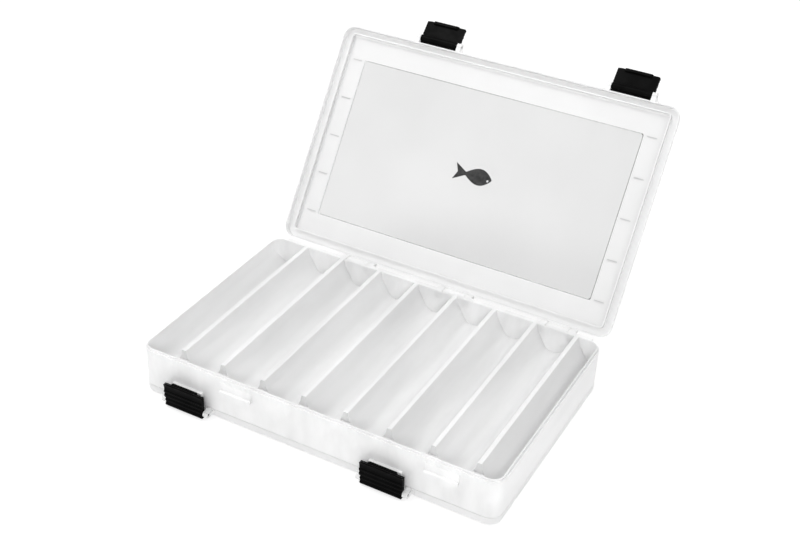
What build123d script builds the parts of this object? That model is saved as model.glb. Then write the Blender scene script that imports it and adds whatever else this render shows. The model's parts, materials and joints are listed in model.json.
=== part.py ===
from build123d import *
import os
from math import cos, radians, sin, tan

# Double-sided lure box: a tray that is open above and below, a lid on each side, four latches.
# Millimetres. X is the length, Y the depth with the hinges at +Y, Z is up.
# The origin is on the ground, at the centre of the closed box.
# Apart from the wave partition, which is shifted sideways, the box is the same
# after half a turn about the Y direction through mid height.

# Driving dimensions
LENGTH = 360.0  # outside, along X
DEPTH = 225.0  # outside, along Y
HEIGHT = 57.0  # both lids shut
CORNER_R = 12.0  # outside corners in plan
WALL = 2.6  # tray wall
CLEARANCE = 0.3  # between a lid and the tray
RIM_Z = 50.0  # top edge of the tray
SHOULDER_Z = 47.7  # ledge round the tray that the lid's skirt stops above
SKIRT = 1.2  # lid skirt thickness
LID_OPEN_DEG = 124.1  # a lid's travel from shut to its stop
LATCH_OPEN_DEG = 102.0  # a latch's travel from shut to its stop

# Wave partition
HALF_WAVES = 17
WAVE_SHIFT = -4.5  # the whole wave stands this far off an even division of the length
SHEET = 1.9  # thickness of the slanting sheet
SLANT_DEG = 30.0  # the sheet's angle from upright
FLOOR_R = 11.5  # radius of a cell's rounded floor
RIB_TOP = 2.2  # half the ridge's thickness at its edge
RIB_FOOT = 3.6  # half the ridge's thickness where the slant starts
NOTCH_LENGTH = 12.0  # each ridge stops short of the front wall
NOTCH_DEPTH = 10.5

# Lid
PLATE = 1.6
PANEL_RISE = 0.8  # the middle panel stands out of the lid
PANEL_X, PANEL_Y = 302.0, 164.0
PANEL_R, PANEL_EDGE = 3.0, 0.8
LID_EDGE_R = 2.5
LIP_SIDE, LIP_FRONT, LIP_BACK = 8.5, 6.0, 8.5  # inner lip, in from the lid's outside
LIP = 1.3
LIP_R = 4.0
LIP_GAP = 0.4  # between the lip and the tray's ridges
TICKS = 5  # short ribs on each side border
TICK_X0, TICK_X1 = 154.5, 164.0
TICK_PITCH = 40.3
TICK = 0.8

# Hinges: axis of the upper lid, and where its three groups of knuckles are
HINGE_Y, HINGE_Z = 117.7, 44.7
HINGE_X = (-87.3, 22.2, 131.7)
KNUCKLE_R = 3.2
LUG = 7.0  # each tray knuckle, one at both ends of a group
GROUP = 37.0
SIDE_GAP = 0.4
PIN_R = 1.2
PIN_BORE_R = 1.27
STOP_FROM, STOP_TO = 3.4, 6.5  # the stretch of the open lid's back that the stop meets
LUG_ABOVE, LUG_BELOW = 2.4, 5.0  # the lug's root on the wall, from the axis
LUG_TOE_Y, LUG_TOE_Z = 6.8, 2.2  # lower end of the stop: out from the axis and below it
LUG_BELLY = 0.6
ARM_UNDER = 0.3  # the lid's arm starts this far above the lid's edge
ARM_RISE = 0.8
ARM_IN_Y, ARM_OUT_Y, ARM_OUT_Z = 3.6, 2.9, 1.2
ARM_TOP_Y = 1.6
RAIL, RAIL_Y = 1.8, 5.8  # ledge between the hinge groups: thickness and reach
RAIL_X = 168.0  # its ends, from the middle of the box

# Latches: pivot of a shut latch on the lower lid, and where the lower latches are
PIVOT_Y, PIVOT_Z = -118.0, 5.5
LATCH_X = (76.0, -128.0)
LATCH_W = 42.0
LATCH_LOW_W = 40.0  # between the ears
LATCH_STEP_Z = 9.8  # where the plate widens above the ears
LATCH_LOW_Z, LATCH_TOP_Z = 1.0, 26.5
LATCH_CORNER_R = 3.0
LATCH_FACE_Y, LATCH_BACK_Y = -121.4, -118.6
BARREL_R = 3.3
FLARE_Y, FLARE_Z = -123.6, 26.0  # tip of the finger lip
FLARE_FROM_Z = 20.0
FLARE_HOLLOW = (-121.95, 23.3)  # the lip's outer face is hollow: a point (y, z) midway
FLARE_EDGE_Y, FLARE_IN_Y = -123.2, -122.4
HOOK_BASE_W, HOOK_TIP_W = 28.0, 23.5
HOOK_Y = -116.1
HOOK_Z0, HOOK_Z1 = 22.0, 25.5
HOOK_RIDGE_Y, HOOK_BEVEL = -120.2, 1.2
GRIPS = 4
GRIP_Z, GRIP_PITCH, GRIP_R = 2.9, 4.6, 1.6
GRIP_CREST_Y = -122.3
TRUNNION_R, TRUNNION = 1.3, 4.5
EAR_BORE_R, EAR, EAR_R = 1.35, 4.6, 3.3
EAR_FOOT = 0.6  # the ear is this much taller where it meets the lid
EAR_TAPER = 0.15
EAR_FLARE, EAR_FLARE_Z = 3.5, 1.6

# Catches on the tray's front, for the upper latches
CATCH_W = 32.0
CATCH_LIP_Z0, CATCH_LIP_Z1, CATCH_LIP = 33.2, 36.2, 3.0
CATCH_BEVEL, CATCH_CORNER = 1.0, 0.8
CATCH_PAD_Z, CATCH_PAD = 44.0, 0.8

MID_Z = HEIGHT / 2
PITCH = LENGTH / HALF_WAVES
INSIDE_X = LENGTH - 2 * WALL
INSIDE_Y = DEPTH - 2 * WALL
FRONT_Y = -DEPTH / 2
BACK_Y = DEPTH / 2
LID_Z0 = SHOULDER_Z + CLEARANCE
LID_Z1 = HEIGHT - PANEL_RISE
PLATE_Z = LID_Z1 - PLATE
UPPER_PIVOT_Z = HEIGHT - PIVOT_Z
OVERLAP = 0.5  # how far joined features run into each other


def block(x0, x1, y0, y1, z0, z1):
    centre = ((x0 + x1) / 2, (y0 + y1) / 2, (z0 + z1) / 2)
    return Pos(*centre) * Box(x1 - x0, y1 - y0, z1 - z0)


def slab(width, depth, radius, z0, z1, y=0.0):
    outline = Pos(0, y, z0) * RectangleRounded(width, depth, radius)
    return extrude(outline, z1 - z0)


def side_profile(points, x0, x1):
    """A solid whose outline in the YZ plane is the polygon points, from x0 to x1."""
    outline = make_face(Polyline(*[(x0, y, z) for y, z in points], close=True))
    return extrude(outline, x1 - x0, dir=(1, 0, 0))


def rod(radius, x0, x1, y, z):
    return Pos((x0 + x1) / 2, y, z) * Rot(0, 90, 0) * Cylinder(radius, x1 - x0)


def turned_over(shape):
    """Half a turn about the Y direction at mid height: upper features become lower ones."""
    return Pos(0, 0, HEIGHT) * Rot(0, 180, 0) * shape


def turned_about_x(shape, degrees, y, z):
    return Pos(0, y, z) * Rot(degrees, 0, 0) * Pos(0, -y, -z) * shape


def tray_walls():
    outer = slab(LENGTH, DEPTH, CORNER_R, HEIGHT - SHOULDER_Z, SHOULDER_Z)
    step = SKIRT + CLEARANCE
    tongue = slab(LENGTH - 2 * step, DEPTH - 2 * step, CORNER_R - step, HEIGHT - RIM_Z, RIM_Z)
    inside = slab(INSIDE_X, INSIDE_Y, CORNER_R - WALL, 0, HEIGHT)
    return outer + tongue - inside


def half_wave_outline():
    """Section of one wall from an upper ridge at x 0 to a lower ridge at x PITCH."""
    slant = radians(SLANT_DEG)
    face_x = PITCH / 2 + SHEET / 2 / cos(slant)
    rise = (FLOOR_R - (PITCH - face_x) * cos(slant)) / sin(slant)
    foot_z = MID_Z + (face_x - RIB_FOOT) / tan(slant)
    touch = (PITCH - FLOOR_R * cos(slant), MID_Z + rise - FLOOR_R * sin(slant))
    half_slant = radians(45 + SLANT_DEG / 2)
    middle = (PITCH - FLOOR_R * cos(half_slant), MID_Z + rise - FLOOR_R * sin(half_slant))
    floor = (PITCH, MID_Z + rise - FLOOR_R)

    def opposite(p):
        return (PITCH - p[0], HEIGHT - p[1])

    upper = [(0, RIM_Z), (RIB_TOP, RIM_Z), (RIB_FOOT, foot_z), touch]
    lower = [opposite(p) for p in upper]
    return [
        Polyline(*upper),
        ThreePointArc(touch, middle, floor),
        Line(floor, lower[0]),
        Polyline(*lower),
        ThreePointArc(lower[-1], opposite(middle), opposite(floor)),
        Line(opposite(floor), upper[0]),
    ]


def falls(index):
    """Whether a wall goes down from an upper ridge on its left to a lower ridge on its right."""
    return index % 2 == 0


def upper_ridge_x(index):
    """Where the upper ridge of a wall is. Walls are counted from the left end."""
    return -LENGTH / 2 + WAVE_SHIFT + PITCH * (index if falls(index) else index + 1)


def half_wave(index):
    section = make_face(half_wave_outline())
    wall = Pos(0, INSIDE_Y / 2, 0) * Rot(90, 0, 0) * extrude(section, INSIDE_Y)
    if not falls(index):
        wall = mirror(wall, Plane.YZ)
    return Pos(upper_ridge_x(index), 0, 0) * wall


def partition_wall(index):
    """One slanting wall of the wave."""
    wall = half_wave(index)
    if index == HALF_WAVES - 1:  # the end wall cuts this one's lower ridge, which is kept whole
        wall += half_wave(index + 1)
    wall = wall & slab(INSIDE_X, INSIDE_Y, CORNER_R - WALL, 0, HEIGHT)
    start = upper_ridge_x(index)
    reach = PITCH / 2
    front = -INSIDE_Y / 2
    y0, y1 = front - OVERLAP, front + NOTCH_LENGTH
    if index > 0:  # the first wall's upper ridge falls in the end wall
        wall -= block(start - reach, start + reach, y0, y1, RIM_Z - NOTCH_DEPTH, HEIGHT)
    if index < HALF_WAVES - 1:  # and so does the last wall's lower ridge
        low_x = start + (PITCH if falls(index) else -PITCH)
        wall -= block(low_x - reach, low_x + reach, y0, y1, 0, HEIGHT - RIM_Z + NOTCH_DEPTH)
    return wall


def catch(x):
    """Ledge and pad that an upper latch hooks under."""
    half = CATCH_W / 2
    ledge = side_profile(
        [
            (FRONT_Y, CATCH_LIP_Z0),
            (FRONT_Y - CATCH_LIP, CATCH_LIP_Z0),
            (FRONT_Y - CATCH_LIP, CATCH_LIP_Z1 - CATCH_BEVEL),
            (FRONT_Y - CATCH_LIP + CATCH_BEVEL, CATCH_LIP_Z1),
            (FRONT_Y - CATCH_PAD, CATCH_LIP_Z1),
            (FRONT_Y - CATCH_PAD, CATCH_PAD_Z - CATCH_PAD),
            (FRONT_Y, CATCH_PAD_Z),
        ],
        x - half,
        x + half,
    )
    return chamfer(ledge.edges().filter_by(Axis.Z).group_by(Axis.Y)[0], CATCH_CORNER)


def tray_lugs(x):
    """Two tray knuckles of one upper hinge group, each with the stop that the open lid rests on."""
    away = radians(LID_OPEN_DEG - 90)
    out = (sin(away), cos(away))  # square to the open lid's back face
    along = (cos(away), -sin(away))
    near = HINGE_Y - BACK_Y - CLEARANCE

    def on_stop(distance):
        y = HINGE_Y + near * out[0] + distance * along[0]
        z = HINGE_Z + near * out[1] + distance * along[1]
        return (y, z)

    outline = [
        (BACK_Y, HINGE_Z - LUG_BELOW),
        (BACK_Y, HINGE_Z + LUG_ABOVE),
        (HINGE_Y, HINGE_Z + KNUCKLE_R),
        on_stop(STOP_FROM),
        on_stop(STOP_TO),
        (HINGE_Y + LUG_TOE_Y, HINGE_Z - LUG_TOE_Z),
        (HINGE_Y, HINGE_Z - KNUCKLE_R - LUG_BELLY),
    ]
    lugs = Part()
    for x0 in (x - GROUP / 2, x + GROUP / 2 - LUG):
        lug = side_profile(outline, x0, x0 + LUG) + rod(KNUCKLE_R, x0, x0 + LUG, HINGE_Y, HINGE_Z)
        lugs += lug - rod(PIN_R, x0 - OVERLAP, x0 + LUG + OVERLAP, HINGE_Y, HINGE_Z)
    return lugs


def hinge_rails():
    """Ledge along the tray's back, level with its shoulder, in the stretches between hinge groups."""
    edges = [-RAIL_X]
    for x in HINGE_X:
        edges += [x - GROUP / 2, x + GROUP / 2]
    edges.append(RAIL_X)
    rails = Part()
    for x0, x1 in zip(edges[::2], edges[1::2]):
        rails += block(x0, x1, BACK_Y, BACK_Y + RAIL_Y, SHOULDER_Z - RAIL, SHOULDER_Z)
    return rails


def hinge_pin(x):
    return rod(PIN_R, x - GROUP / 2, x + GROUP / 2, HINGE_Y, HINGE_Z)


def lid_knuckle(x):
    """The lid's knuckle between two tray lugs, and the arm that carries it."""
    half = GROUP / 2 - LUG - SIDE_GAP
    arm = side_profile(
        [
            (BACK_Y - OVERLAP, LID_Z0 + ARM_UNDER),
            (BACK_Y + ARM_RISE, LID_Z0 + ARM_UNDER),
            (HINGE_Y - ARM_IN_Y, HINGE_Z + ARM_RISE),
            (HINGE_Y, HINGE_Z - ARM_RISE),
            (HINGE_Y + ARM_OUT_Y, HINGE_Z + ARM_OUT_Z),
            (BACK_Y + ARM_TOP_Y, PLATE_Z),
            (BACK_Y - OVERLAP, PLATE_Z),
        ],
        x - half,
        x + half,
    )
    barrel = rod(KNUCKLE_R, x - half, x + half, HINGE_Y, HINGE_Z)
    bore = rod(PIN_BORE_R, x - half - OVERLAP, x + half + OVERLAP, HINGE_Y, HINGE_Z)
    return arm + barrel - bore


def lid_ear(x, side):
    """One of the two ears that hold a latch's trunnions, on the upper lid's front."""
    inner = x + side * (LATCH_LOW_W / 2 + SIDE_GAP)
    outer = inner + side * EAR
    low, high = min(inner, outer), max(inner, outer)
    root = FRONT_Y + OVERLAP
    neck = PIVOT_Y + 1.0
    body = side_profile(
        [
            (root, LID_Z0 + EAR_TAPER),
            (root, UPPER_PIVOT_Z + EAR_R + EAR_FOOT),
            (neck, UPPER_PIVOT_Z + EAR_R - EAR_TAPER),
            (PIVOT_Y, UPPER_PIVOT_Z),
            (neck, UPPER_PIVOT_Z - EAR_R + EAR_TAPER),
        ],
        low,
        high,
    )
    body += rod(EAR_R, low, high, PIVOT_Y, UPPER_PIVOT_Z)
    flare = make_face(
        Polyline(
            (outer - side * OVERLAP, root),
            (outer + side * EAR_FLARE, root),
            (outer, neck),
            (outer - side * OVERLAP, neck),
            close=True,
        )
    )
    body += extrude(Pos(0, 0, UPPER_PIVOT_Z - EAR_FLARE_Z) * flare, 2 * EAR_FLARE_Z, dir=(0, 0, 1))
    return body - rod(EAR_BORE_R, low - OVERLAP, high + OVERLAP, PIVOT_Y, UPPER_PIVOT_Z)


def shut_upper_lid():
    shell = slab(LENGTH, DEPTH, CORNER_R, LID_Z0, LID_Z1)
    shell = fillet(shell.faces().sort_by(Axis.Z)[-1].edges(), LID_EDGE_R)
    shell -= slab(LENGTH - 2 * SKIRT, DEPTH - 2 * SKIRT, CORNER_R - SKIRT, LID_Z0 - 1, PLATE_Z)
    lip_x = LENGTH - 2 * LIP_SIDE
    lip_y = DEPTH - LIP_FRONT - LIP_BACK
    lip_middle = (LIP_FRONT - LIP_BACK) / 2
    lip = slab(lip_x, lip_y, LIP_R, RIM_Z + LIP_GAP, PLATE_Z + OVERLAP, lip_middle)
    lip -= slab(lip_x - 2 * LIP, lip_y - 2 * LIP, LIP_R - LIP, RIM_Z, HEIGHT, lip_middle)
    panel = Pos(0, 0, LID_Z1) * RectangleRounded(PANEL_X, PANEL_Y, PANEL_R)
    hollow_x, hollow_y = PANEL_X - PANEL_EDGE, PANEL_Y - PANEL_EDGE
    recess = Pos(0, 0, PLATE_Z) * RectangleRounded(hollow_x, hollow_y, PANEL_R)
    lid = shell + lip + extrude(panel, PANEL_RISE, taper=45)
    lid -= extrude(recess, PANEL_RISE, taper=45)
    for number in range(TICKS):
        y = (number - (TICKS - 1) / 2) * TICK_PITCH
        for x0, x1 in ((TICK_X0, TICK_X1), (-TICK_X1, -TICK_X0)):
            lid += block(x0, x1, y - TICK / 2, y + TICK / 2, PLATE_Z - TICK, PLATE_Z + OVERLAP)
    for x in HINGE_X:
        lid += lid_knuckle(x)
    for x in LATCH_X:
        for side in (-1, 1):
            lid += lid_ear(-x, side)
    return lid


def latch_plate():
    """The latch's plate: its side profile, cut to its outline as seen from the front."""
    flare_foot = (LATCH_FACE_Y, FLARE_FROM_Z)
    flare_tip = (FLARE_Y, FLARE_Z)
    hollow = ThreePointArc(*[(0, *p) for p in (flare_foot, FLARE_HOLLOW, flare_tip)])
    around = [
        flare_tip,
        (FLARE_EDGE_Y, LATCH_TOP_Z),
        (FLARE_IN_Y, LATCH_TOP_Z),
        (HOOK_RIDGE_Y, HOOK_Z1 - OVERLAP),
        (LATCH_BACK_Y, HOOK_Z1 - 2 * OVERLAP),
        (LATCH_BACK_Y, LATCH_LOW_Z),
        (LATCH_FACE_Y, LATCH_LOW_Z),
        flare_foot,
    ]
    section = make_face([hollow, Polyline(*[(0, y, z) for y, z in around])])
    plate = Pos(-LATCH_W / 2, 0, 0) * extrude(section, LATCH_W, dir=(1, 0, 0))
    front = Plane.XZ * RectangleRounded(LATCH_W, 2 * LATCH_TOP_Z, LATCH_CORNER_R)
    plate = plate & extrude(front, DEPTH)
    for number in range(GRIPS):
        z = GRIP_Z + number * GRIP_PITCH
        plate += rod(GRIP_R, -LATCH_W / 2, LATCH_W / 2, GRIP_CREST_Y + GRIP_R, z)
    for x0 in (-LATCH_W / 2, LATCH_LOW_W / 2):
        x1 = x0 + (LATCH_W - LATCH_LOW_W) / 2
        plate -= block(x0, x1, GRIP_CREST_Y - OVERLAP, HOOK_Y, 0, LATCH_STEP_Z)
    return plate


def latch_hook():
    """The hook behind the plate's top: narrower at its tip, bevelled above."""
    outline = [
        (HOOK_RIDGE_Y - OVERLAP, HOOK_Z0),
        (HOOK_Y, HOOK_Z0 + OVERLAP),
        (HOOK_Y, HOOK_Z1 - HOOK_BEVEL),
        (HOOK_Y - HOOK_BEVEL, HOOK_Z1),
        (HOOK_RIDGE_Y, HOOK_Z1),
        (HOOK_RIDGE_Y - OVERLAP, HOOK_Z1 - OVERLAP),
    ]
    base, tip = HOOK_BASE_W / 2, HOOK_TIP_W / 2
    plan = make_face(
        Polyline(
            (-base, HOOK_RIDGE_Y - OVERLAP),
            (base, HOOK_RIDGE_Y - OVERLAP),
            (base, LATCH_BACK_Y),
            (tip, HOOK_Y),
            (-tip, HOOK_Y),
            (-base, LATCH_BACK_Y),
            close=True,
        )
    )
    return side_profile(outline, -base, base) & extrude(plan, LATCH_TOP_Z)


def shut_lower_latch(x):
    half = LATCH_LOW_W / 2
    latch = latch_plate() + latch_hook()
    latch += rod(BARREL_R, -half, half, PIVOT_Y, PIVOT_Z)
    latch += rod(TRUNNION_R, -half - TRUNNION, half + TRUNNION, PIVOT_Y, PIVOT_Z)
    return Pos(x, 0, 0) * latch


def opened_upper(shape):
    """A shape that belongs to the shut upper lid, carried to the lid's open stop."""
    return turned_about_x(shape, -LID_OPEN_DEG, HINGE_Y, HINGE_Z)


parts = {"tray_walls": tray_walls()}
for number in range(HALF_WAVES):
    parts[f"partition_wall_{number + 1:02d}"] = partition_wall(number)
for side, x in (("right", LATCH_X[0]), ("left", LATCH_X[1])):
    parts[f"catch_lower_{side}"] = turned_over(catch(-x))
    parts[f"latch_lower_{side}"] = shut_lower_latch(x)
for side, x in (("left", -LATCH_X[0]), ("right", -LATCH_X[1])):
    parts[f"catch_upper_{side}"] = catch(x)
    shut = turned_over(shut_lower_latch(-x))
    flipped = turned_about_x(shut, -LATCH_OPEN_DEG, PIVOT_Y, UPPER_PIVOT_Z)
    parts[f"latch_upper_{side}"] = opened_upper(flipped)
for place, x in zip(("left", "middle", "right"), HINGE_X):
    parts[f"hinge_lugs_upper_{place}"] = tray_lugs(x)
    parts[f"hinge_pin_upper_{place}"] = hinge_pin(x)
for place, x in zip(("right", "middle", "left"), HINGE_X):
    parts[f"hinge_lugs_lower_{place}"] = turned_over(tray_lugs(x))
    parts[f"hinge_pin_lower_{place}"] = turned_over(hinge_pin(x))
parts["hinge_rails_upper"] = hinge_rails()
parts["hinge_rails_lower"] = turned_over(hinge_rails())
lid = shut_upper_lid()
parts["lid_upper"] = opened_upper(lid)
parts["lid_lower"] = turned_over(lid)

os.makedirs("parts", exist_ok=True)
for name, part in parts.items():
    export_step(part, f"parts/{name}.step")
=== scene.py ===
import json
import math

import bmesh
import bpy
from mathutils import Matrix, Vector


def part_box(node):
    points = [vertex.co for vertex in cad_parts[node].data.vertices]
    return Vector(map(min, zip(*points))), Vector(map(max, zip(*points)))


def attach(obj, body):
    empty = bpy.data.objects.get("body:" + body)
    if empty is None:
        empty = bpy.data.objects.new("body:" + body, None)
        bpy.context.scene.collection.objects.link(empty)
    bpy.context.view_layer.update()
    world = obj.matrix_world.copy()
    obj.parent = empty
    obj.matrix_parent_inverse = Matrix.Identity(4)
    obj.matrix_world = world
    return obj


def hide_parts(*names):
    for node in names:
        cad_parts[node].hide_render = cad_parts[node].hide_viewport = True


# Fishing tackle box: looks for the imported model. Metres, the row's own frame.

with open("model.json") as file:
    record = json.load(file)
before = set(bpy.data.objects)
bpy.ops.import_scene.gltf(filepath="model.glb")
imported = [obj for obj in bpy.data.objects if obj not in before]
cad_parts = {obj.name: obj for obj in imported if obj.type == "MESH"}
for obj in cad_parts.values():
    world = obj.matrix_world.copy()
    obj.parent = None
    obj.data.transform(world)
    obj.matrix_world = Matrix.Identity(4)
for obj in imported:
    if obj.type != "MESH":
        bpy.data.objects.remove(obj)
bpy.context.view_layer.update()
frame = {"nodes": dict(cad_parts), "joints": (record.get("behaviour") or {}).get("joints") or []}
NODES = frame["nodes"]
MM = 0.001

# ---------------------------------------------------------------- camera and stage

CAMERA_TARGET = Vector((-0.0395, 0.1245, 0.0))
CAMERA_AZIMUTH = math.radians(27.22)
CAMERA_ELEVATION = math.radians(34.68)
CAMERA_ROLL = math.radians(2.60)
CAMERA_DISTANCE = 1.3291
CAMERA_LENS = 58.71
CAMERA_SHIFT_Y = 0.05

FLOOR_REACH = 12.0
FLOOR_DROP = 0.0002  # just under the box, so that the two surfaces never coincide
FLOOR_TONE, FLOOR_GLOW = 0.42, 0.62
WORLD_STRENGTH = 0.75


def make_camera():
    a, e, roll = CAMERA_AZIMUTH, CAMERA_ELEVATION, CAMERA_ROLL
    back = Vector((math.sin(a) * math.cos(e), -math.cos(a) * math.cos(e), math.sin(e)))
    level = Vector((math.cos(a), math.sin(a), 0))
    rise = back.cross(level)
    right = level * math.cos(roll) + rise * math.sin(roll)
    up = back.cross(right)
    data = bpy.data.cameras.new("camera")
    data.lens = CAMERA_LENS
    data.shift_y = CAMERA_SHIFT_Y
    camera = bpy.data.objects.new("camera", data)
    bpy.context.scene.collection.objects.link(camera)
    turn = Matrix((right, up, back)).transposed().to_4x4()
    camera.matrix_world = Matrix.Translation(CAMERA_TARGET + back * CAMERA_DISTANCE) @ turn
    bpy.context.scene.camera = camera


def new_object(name, mesh):
    piece = bpy.data.objects.new(name, mesh)
    bpy.context.scene.collection.objects.link(piece)
    return piece


def make_floor():
    mesh = bpy.data.meshes.new("floor")
    corners = [(x * FLOOR_REACH, y * FLOOR_REACH, 0) for x, y in ((-1, -1), (1, -1), (1, 1), (-1, 1))]
    mesh.from_pydata(corners, [], [(0, 1, 2, 3)])
    floor = new_object("floor", mesh)
    floor.location.z = -FLOOR_DROP
    material = bpy.data.materials.new("floor_white")
    material.use_nodes = True
    shader = material.node_tree.nodes["Principled BSDF"]
    shader.inputs["Base Color"].default_value = (FLOOR_TONE, FLOOR_TONE, FLOOR_TONE, 1)
    shader.inputs["Roughness"].default_value = 0.9
    shader.inputs["Specular IOR Level"].default_value = 0.1
    shader.inputs["Emission Color"].default_value = (1, 1, 1, 1)
    shader.inputs["Emission Strength"].default_value = FLOOR_GLOW
    mesh.materials.append(material)


def make_world():
    world = bpy.data.worlds.new("studio")
    world.use_nodes = True
    background = world.node_tree.nodes["Background"]
    background.inputs["Color"].default_value = (1, 1, 1, 1)
    background.inputs["Strength"].default_value = WORLD_STRENGTH
    bpy.context.scene.world = world
    bpy.context.scene.view_settings.view_transform = "Standard"


def area_light(name, place, aim, size, power):
    data = bpy.data.lights.new(name, "AREA")
    data.shape = "RECTANGLE"
    data.size, data.size_y = size
    data.energy = power
    light = bpy.data.objects.new(name, data)
    bpy.context.scene.collection.objects.link(light)
    light.location = place
    light.rotation_mode = "QUATERNION"
    light.rotation_quaternion = (Vector(place) - Vector(aim)).to_track_quat("Z", "Y")


make_camera()
make_floor()
make_world()
area_light("key_light", (-0.9, -0.3, 2.0), (0, 0.05, 0), (0.8, 0.8), 20)
area_light("front_light", (0.75, -1.5, 0.9), (0, 0, 0.05), (0.5, 0.4), 9)
area_light("right_light", (1.0, 0.2, 1.5), (0, 0, 0), (0.6, 0.6), 4.5)

# ---------------------------------------------------------------- materials

PANEL_HALF_X, PANEL_HALF_Y = 151 * MM, 82 * MM
# The darker tone on the short ribs is painted shade.
# The lighter tone on the lip and skirt is painted light, laid over the shade in the groove beside the
# lip.
PAINTED_LIGHT_EDGE_TONE, BORDER_TONE, PANEL_TONE, PAINTED_SHADE_TICK_TONE = 0.98, 0.87, 0.79, 0.64
EDGE_X, EDGE_Y = 170.5 * MM, 103 * MM  # the lip and the skirt lie outside these
TICK_PITCH, TICK_HALF = 40.3 * MM, 0.5 * MM
TICK_X = (159.3 * MM, 5.0 * MM)  # middle and half length of the short ribs
PLASTIC_IOR = 1.49
FROST_ROUGHNESS, CLEAR_ROUGHNESS = 0.34, 0.06
TRAY_TRANSMISSION, BORDER_TRANSMISSION, PANEL_TRANSMISSION = 0.3, 0.4, 0.97
NOISE_LOW, NOISE_HIGH = 0.3, 0.7  # where most of a noise texture's values lie
NOISE_DETAIL = 3.0


class Nodes:
    """A new material with its Principled shader, and short ways to add nodes to it."""

    def __init__(self, name):
        self.material = bpy.data.materials.new(name)
        self.material.use_nodes = True
        self.tree = self.material.node_tree
        self.shader = self.tree.nodes["Principled BSDF"]

    def set(self, **values):
        for name, value in values.items():
            self.shader.inputs[name.replace("_", " ")].default_value = value

    def add(self, kind, **values):
        node = self.tree.nodes.new(kind)
        for name, value in values.items():
            setattr(node, name, value)
        return node

    def link(self, source, target):
        self.tree.links.new(source, target)

    def to_shader(self, source, name):
        self.link(source, self.shader.inputs[name])

    def noise(self, along_x, along_y, along_z):
        """Soft 0 to 1 noise, with this many waves a metre along each axis."""
        place = self.add("ShaderNodeTexCoord")
        stretch = self.add("ShaderNodeMapping")
        stretch.inputs["Scale"].default_value = (along_x, along_y, along_z)
        noise = self.add("ShaderNodeTexNoise")
        noise.inputs["Scale"].default_value = 1.0
        noise.inputs["Detail"].default_value = NOISE_DETAIL
        self.link(place.outputs["Object"], stretch.inputs["Vector"])
        self.link(stretch.outputs["Vector"], noise.inputs["Vector"])
        return noise.outputs["Fac"]

    def math(self, operation, *values):
        node = self.add("ShaderNodeMath", operation=operation)
        for socket, value in zip(node.inputs, values):
            if isinstance(value, float):
                socket.default_value = value
            else:
                self.link(value, socket)
        return node.outputs["Value"]

    def mix(self, factor, low, high):
        """A number that goes from low to high as factor goes from 0 to 1."""
        node = self.add("ShaderNodeMix", data_type="FLOAT")
        for socket, value in (("Factor", factor), ("A", low), ("B", high)):
            if isinstance(value, float):
                node.inputs[socket].default_value = value
            else:
                self.link(value, node.inputs[socket])
        return node.outputs["Result"]

    def between(self, source, low, high):
        """Carries a noise value to the range low to high."""
        node = self.add("ShaderNodeMapRange")
        node.inputs["From Min"].default_value = NOISE_LOW
        node.inputs["From Max"].default_value = NOISE_HIGH
        node.inputs["To Min"].default_value = low
        node.inputs["To Max"].default_value = high
        self.link(source, node.inputs["Value"])
        return node.outputs["Result"]


def frosted_plastic():
    m = Nodes("frosted_plastic")
    m.set(Roughness=FROST_ROUGHNESS, IOR=PLASTIC_IOR, Transmission_Weight=TRAY_TRANSMISSION)
    m.to_shader(m.between(m.noise(70, 7, 25), 0.88, 1.0), "Base Color")
    return m.material


def lid_plastic(name, hinge, turned):
    """Frosted border with short ribs round a clear middle panel, with painted shade on the short ribs
    and painted light on the lip and skirt.

    turned is how far the lid stands from shut, so that the tones are laid out as on the shut lid.
    """
    m = Nodes(name)
    m.set(IOR=PLASTIC_IOR)
    place = m.add("ShaderNodeTexCoord")
    shut = m.add("ShaderNodeVectorRotate", rotation_type="X_AXIS")
    shut.inputs["Center"].default_value = hinge
    shut.inputs["Angle"].default_value = -turned
    m.link(place.outputs["Object"], shut.inputs["Vector"])
    axes = m.add("ShaderNodeSeparateXYZ")
    m.link(shut.outputs["Vector"], axes.inputs["Vector"])
    x = m.math("ABSOLUTE", axes.outputs["X"])
    y = m.math("ABSOLUTE", axes.outputs["Y"])
    in_x = m.math("LESS_THAN", x, PANEL_HALF_X)
    in_y = m.math("LESS_THAN", y, PANEL_HALF_Y)
    panel = m.math("MULTIPLY", in_x, in_y)
    # Marks out the short ribs, which get the painted shade.
    in_row = m.math("LESS_THAN", m.math("PINGPONG", y, TICK_PITCH / 2), TICK_HALF)
    painted_shade_tick = m.math("MULTIPLY", in_row, m.math("COMPARE", x, *TICK_X))
    cloud = m.between(m.noise(9, 9, 9), 0.94, 1.0)
    # The lip and skirt lie past these limits and get the painted light.
    past_x = m.math("GREATER_THAN", x, EDGE_X)
    past_y = m.math("GREATER_THAN", y, EDGE_Y)
    painted_light_edge = m.math("MAXIMUM", past_x, past_y)
    # Painted light on the lip and skirt, painted shade on the short ribs, the frosted border tone
    # elsewhere.
    tone = m.mix(painted_light_edge, m.mix(painted_shade_tick, BORDER_TONE, PAINTED_SHADE_TICK_TONE), PAINTED_LIGHT_EDGE_TONE)
    border = m.math("MULTIPLY", tone, cloud)
    m.to_shader(m.mix(panel, border, m.math("MULTIPLY", cloud, PANEL_TONE)), "Base Color")
    m.to_shader(m.mix(panel, FROST_ROUGHNESS, CLEAR_ROUGHNESS), "Roughness")
    m.to_shader(m.mix(panel, BORDER_TRANSMISSION, PANEL_TRANSMISSION), "Transmission Weight")
    return m.material


def black_plastic():
    m = Nodes("black_plastic")
    m.set(IOR=1.45, Specular_IOR_Level=0.02)
    m.to_shader(m.between(m.noise(60, 60, 60), 0.002, 0.005), "Base Color")
    m.to_shader(m.between(m.noise(220, 220, 220), 0.3, 0.42), "Roughness")
    return m.material


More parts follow.
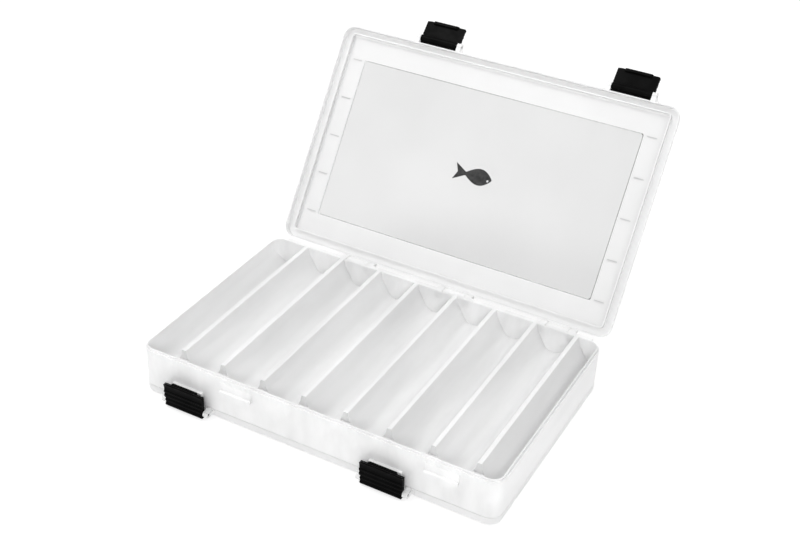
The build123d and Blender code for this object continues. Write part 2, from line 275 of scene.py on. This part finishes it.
def grey_ink():
    m = Nodes("grey_ink")
    m.set(Specular_IOR_Level=0.2)
    m.to_shader(m.between(m.noise(300, 300, 300), 0.02, 0.05), "Base Color")
    m.to_shader(m.between(m.noise(500, 500, 500), 0.5, 0.7), "Roughness")
    return m.material


def steel_wire():
    m = Nodes("steel_wire")
    m.set(Base_Color=(0.55, 0.55, 0.56, 1), Metallic=1.0)
    m.to_shader(m.between(m.noise(30, 900, 900), 0.25, 0.4), "Roughness")
    return m.material


FROSTED = frosted_plastic()
BLACK = black_plastic()
STEEL = steel_wire()
INK = grey_ink()

# ---------------------------------------------------------------- mesh helpers

SMOOTH_ANGLE = math.radians(32)


def mesh_of(name, points, faces):
    mesh = bpy.data.meshes.new(name)
    mesh.from_pydata(points, [], faces)
    bm = bmesh.new()
    bm.from_mesh(mesh)
    bmesh.ops.recalc_face_normals(bm, faces=bm.faces)
    bm.to_mesh(mesh)
    bm.free()
    return new_object(name, mesh)


def drop(piece):
    mesh = piece.data
    bpy.data.objects.remove(piece)
    bpy.data.meshes.remove(mesh)


def joined(base, other, operation):
    """Makes base one closed mesh with other added, cut away or kept. other is used up."""
    step = base.modifiers.new(operation, "BOOLEAN")
    step.operation = operation
    step.object = other
    step.solver = "EXACT"
    depsgraph = bpy.context.evaluated_depsgraph_get()
    mesh = bpy.data.meshes.new_from_object(base.evaluated_get(depsgraph))
    base.modifiers.clear()
    old = base.data
    base.data = mesh
    bpy.data.meshes.remove(old)
    drop(other)


def smooth(piece):
    piece.data.shade_smooth()
    piece.data.set_sharp_from_angle(angle=SMOOTH_ANGLE)


def arc(centre, radius, start, end, steps):
    """Points on a circle in a plane, from the angle start to the angle end in degrees."""
    angles = [math.radians(start + (end - start) * i / steps) for i in range(steps + 1)]
    return [(centre[0] + radius * math.cos(a), centre[1] + radius * math.sin(a)) for a in angles]


def rounded_outline(half_x, half_y, radius, steps):
    """Points and outward directions round a rectangle with round corners, anticlockwise."""
    found = []
    for quarter, (sx, sy) in enumerate(((1, 1), (-1, 1), (-1, -1), (1, -1))):
        for i in range(steps + 1):
            a = math.radians(90 * (quarter + i / steps))
            out = Vector((math.cos(a), math.sin(a), 0))
            centre = Vector((sx * (half_x - radius), sy * (half_y - radius), 0))
            found.append((centre + out * radius, out))
    return found


def swept_ring(name, outline, profile):
    """A closed ring: profile is a closed list of (distance in from the outline, z)."""
    points = [tuple(p - out * inset + Vector((0, 0, z))) for p, out in outline for inset, z in profile]
    n, m = len(outline), len(profile)
    faces = []
    for i in range(n):
        for j in range(m):
            after_i, after_j = (i + 1) % n, (j + 1) % m
            faces.append((i * m + j, after_i * m + j, after_i * m + after_j, i * m + after_j))
    return mesh_of(name, points, faces)


def prism(name, outline, start, end, place):
    """A closed list of 2-D points, drawn out from start to end.

    place turns (a, b, along) into a point in space.
    """
    n = len(outline)
    points = [place(a, b, along) for along in (start, end) for a, b in outline]
    faces = [tuple(range(n)), tuple(range(2 * n - 1, n - 1, -1))]
    faces += [(i, (i + 1) % n, n + (i + 1) % n, n + i) for i in range(n)]
    return mesh_of(name, points, faces)


def along_x(a, b, along):
    return (along, a, b)


def along_y(a, b, along):
    return (a, along, b)


def along_z(a, b, along):
    return (a, b, along)


# ---------------------------------------------------------------- tray

WALLS_LOW, WALLS_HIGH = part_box("tray_walls")
HALF_X, HALF_Y = WALLS_HIGH.x, WALLS_HIGH.y
MID_Z = (WALLS_LOW.z + WALLS_HIGH.z) / 2
RIM = WALLS_HIGH.z - MID_Z  # the tray's half height
TRAY_R = 12 * MM
WALL = 2.6 * MM
TONGUE_INSET = 1.5 * MM
SHOULDER = RIM - 2.3 * MM  # ledge that the lid's skirt stops above
EDGE_R = 0.35 * MM
SEAM_R = 0.12 * MM  # edge beside the lid's skirt
ARC_STEPS = 12

WAVE_SHIFT = -4.5 * MM  # the wave stands this far off an even division of the length
HALF_WAVES = len([name for name in NODES if name.startswith("partition_wall")])
PITCH = 2 * HALF_X / HALF_WAVES
SHEET = 1.9 * MM
SLANT = math.radians(30)
FLOOR_R = 11.5 * MM
RIB_TOP, RIB_FOOT = 2.2 * MM, 3.6 * MM
NOTCH_LENGTH, NOTCH_DEPTH = 12 * MM, 10.5 * MM
NOTCH_REACH = 0.98  # half a notch's width, in pitches
NOTCH_PAST = 5 * MM  # how far a notch runs past the rim
CATCH_W = 32 * MM
CATCH_LEDGE = ((2.8, 33.2), (3.0, 33.5), (3.0, 35.2), (2.7, 35.8), (2.0, 36.2))  # out of the wall, z
CATCH_PAD = ((0.8, 36.2), (0.8, 43.2), (0.5, 43.7))
CATCH_FOOT_Z, CATCH_HEAD_Z = 33.4, 43.9
GROUP = 37 * MM  # a hinge group's length
IN_TRAY = ("tray_walls", "partition", "catch", "hinge_rails")


def ring_profile():
    """Half of the wall's section above mid height, then its mirror image."""
    upper = [(0, SHOULDER - SEAM_R), (SEAM_R, SHOULDER), (TONGUE_INSET, SHOULDER)]
    upper += [(TONGUE_INSET, RIM - EDGE_R), (TONGUE_INSET + EDGE_R, RIM)]
    upper += [(WALL - EDGE_R, RIM), (WALL, RIM - EDGE_R)]
    lower = [(inset, -z) for inset, z in reversed(upper)]
    return [(inset, MID_Z + z) for inset, z in upper + lower]


def rib_side():
    """Half a cell's surface, from a ridge's middle to the cell's middle, as (x, height over MID_Z)."""
    face_x = PITCH / 2 + SHEET / 2 / math.cos(SLANT)
    centre_z = (FLOOR_R - (PITCH - face_x) * math.cos(SLANT)) / math.sin(SLANT)
    foot_z = (face_x - RIB_FOOT) / math.tan(SLANT)
    top = arc((RIB_TOP - 2 * EDGE_R, RIM - 2 * EDGE_R), 2 * EDGE_R, 90, 10, 4)
    floor = arc((PITCH, centre_z), FLOOR_R, 180 + math.degrees(SLANT), 270, ARC_STEPS)
    return top + [(RIB_FOOT, foot_z)] + floor


def upper_surface(first, last):
    """The wave's upper surface, from the first ridge over the last, at every second half wave."""
    side = rib_side()
    points = []
    for ridge in range(first, last + 1):
        x = -HALF_X + WAVE_SHIFT + 2 * PITCH * ridge
        points += [(x - dx, z) for dx, z in reversed(side[:-1])]
        points += [(x + dx, z) for dx, z in side]
    return points


def cut_to_width(points, reach):
    """A line of points in order of x, cut at -reach and at reach."""
    found = []
    for (xa, za), (xb, zb) in zip(points, points[1:]):
        for limit in (-reach, reach):
            if xa < limit < xb:
                found.append((limit, za + (zb - za) * (limit - xa) / (xb - xa)))
        if abs(xb) < reach:
            found.append((xb, zb))
    return found


def wave_outline():
    reach = HALF_X - WALL / 2
    wave = upper_surface(0, HALF_WAVES // 2 + 1)
    upper = cut_to_width(wave, reach)
    lower = cut_to_width([(x - PITCH, -z) for x, z in wave], reach)
    return [(x, MID_Z + z) for x, z in upper + lower[::-1]]


def notch(ridge_x, upper):
    """The space in front of a ridge that stops short of the front wall."""
    deep = RIM - NOTCH_DEPTH
    past = RIM + NOTCH_PAST
    half = PITCH * NOTCH_REACH
    low, high = (MID_Z + deep, MID_Z + past) if upper else (MID_Z - past, MID_Z - deep)
    start = -HALF_Y + WALL
    outline = [(ridge_x - half, start), (ridge_x + half, start)]
    outline += [(ridge_x + half, start + NOTCH_LENGTH), (ridge_x - half, start + NOTCH_LENGTH)]
    return prism("notch", outline, low, high, along_z)


def catch(x, upper):
    """Ledge that a latch hooks under and the pad over it, with softened edges, run into the wall."""
    inside = -HALF_Y + WALL / 2
    outline = [(inside, CATCH_FOOT_Z)]
    outline += [(-HALF_Y - out * MM, z) for out, z in CATCH_LEDGE + CATCH_PAD]
    outline.append((inside, CATCH_HEAD_Z))
    turned = [(y, z * MM if upper else 2 * MID_Z - z * MM) for y, z in outline]
    half = CATCH_W / 2
    return prism("catch", turned, x - half, x + half, along_x)


def rails(side):
    """The ledge along the tray's back, between the hinge groups, with softened outer edges."""
    low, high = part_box("hinge_rails_" + side)
    y0, y1, r = HALF_Y - WALL / 2, high.y, EDGE_R
    z0, z1 = low.z, high.z
    outline = [(y0, z0), (y1 - r, z0), (y1, z0 + r), (y1, z1 - r), (y1 - r, z1), (y0, z1)]
    lugs = [name for name in NODES if name.startswith("hinge_lugs_" + side)]
    edges = [low.x]
    for x in sorted(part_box(name)[0].x for name in lugs):
        edges += [x, x + GROUP]
    edges.append(high.x)
    return [prism("rail", outline, a, b, along_x) for a, b in zip(edges[::2], edges[1::2])]


def make_tray():
    plan = rounded_outline(HALF_X, HALF_Y, TRAY_R, ARC_STEPS)
    walls = swept_ring("tray", plan, ring_profile())
    wave = prism("wave", wave_outline(), -HALF_Y + WALL / 2, HALF_Y - WALL / 2, along_y)
    for number in range(1, HALF_WAVES // 2 + 1):
        x = -HALF_X + WAVE_SHIFT + 2 * PITCH * number
        joined(wave, notch(x, True), "DIFFERENCE")
        joined(wave, notch(x - PITCH, False), "DIFFERENCE")
    limit = [tuple((p - out * WALL / 2).xy) for p, out in plan]
    joined(wave, prism("limit", limit, 0, 3 * MID_Z, along_z), "INTERSECT")
    joined(walls, wave, "UNION")
    for name in [n for n in NODES if n.startswith("catch")]:
        low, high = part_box(name)
        joined(walls, catch((low.x + high.x) / 2, "upper" in name), "UNION")
    for side in ("upper", "lower"):
        for piece in rails(side):
            joined(walls, piece, "UNION")
    walls.data.materials.append(FROSTED)
    smooth(walls)
    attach(walls, "tray")
    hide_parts(*[name for name in NODES if name.startswith(IN_TRAY)])


make_tray()

# ---------------------------------------------------------------- pieces that keep their CAD shape

JOINTS = {joint["name"]: joint for joint in frame["joints"]}
LID_TRAVEL = math.radians(JOINTS["lid_upper_hinge"]["range_deg"][1])
MATERIALS = {
    "lid_upper": lid_plastic("upper_lid_plastic", JOINTS["lid_upper_hinge"]["pos_m"], -LID_TRAVEL),
    "lid_lower": lid_plastic("lower_lid_plastic", JOINTS["lid_lower_hinge"]["pos_m"], 0.0),
}

for name, node in NODES.items():
    material = MATERIALS.get(name, FROSTED)
    if name.startswith("latch"):
        material = BLACK
    if name.startswith("hinge_pin"):
        material = STEEL
    node.data.materials.clear()
    node.data.materials.append(material)

# ---------------------------------------------------------------- printed mark

FISH_LENGTH, FISH_HALF = 30 * MM, 8 * MM
FISH_FULLNESS = 0.85  # below 1 the body is thickest nearer the nose
TAIL_ROOT = 0.6 * MM
TAIL, TAIL_HALF = 11 * MM, 8.5 * MM
TAIL_FORK = 0.65  # how far along the tail its fork reaches
EYE_R, EYE_UP = 1.1 * MM, 1.6 * MM
EYE_BACK = -0.36  # in fish lengths from the middle
FISH_X, FISH_Y = 5 * MM, 0.0
INK_DEPTH = 0.12 * MM
PANEL_INSIDE_Z = 55.4 * MM  # the middle panel's inner face, lid shut
BODY_STEPS = 20


def fish_outline():
    """A plain fish seen from the side: nose at -x, forked tail at +x."""
    back = []
    for i in range(1, BODY_STEPS):
        t = i / BODY_STEPS
        y = FISH_HALF * math.sin(math.pi * t**FISH_FULLNESS) + TAIL_ROOT * t
        back.append((FISH_LENGTH * (t - 0.5), y))
    end = FISH_LENGTH / 2
    tail = [(end + TAIL, TAIL_HALF), (end + TAIL * TAIL_FORK, 0), (end + TAIL, -TAIL_HALF)]
    return [(-end, 0)] + back + tail + [(x, -y) for x, y in reversed(back)]


def make_fish():
    hinge = Vector(JOINTS["lid_upper_hinge"]["pos_m"])
    turn = Matrix.Rotation(-LID_TRAVEL, 3, "X")
    low = PANEL_INSIDE_Z - INK_DEPTH

    def place(a, b, along):
        shut = Vector((FISH_X - a, FISH_Y + b, along))
        return tuple(hinge + turn @ (shut - hinge))

    fish = prism("printed_fish", fish_outline(), low, PANEL_INSIDE_Z, place)
    eye = arc((FISH_LENGTH * EYE_BACK, EYE_UP), EYE_R, 0, 330, 11)
    hole = prism("eye", eye, low - INK_DEPTH, PANEL_INSIDE_Z + INK_DEPTH, place)
    joined(fish, hole, "DIFFERENCE")
    fish.data.materials.append(INK)
    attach(fish, "lid_upper")


make_fish()
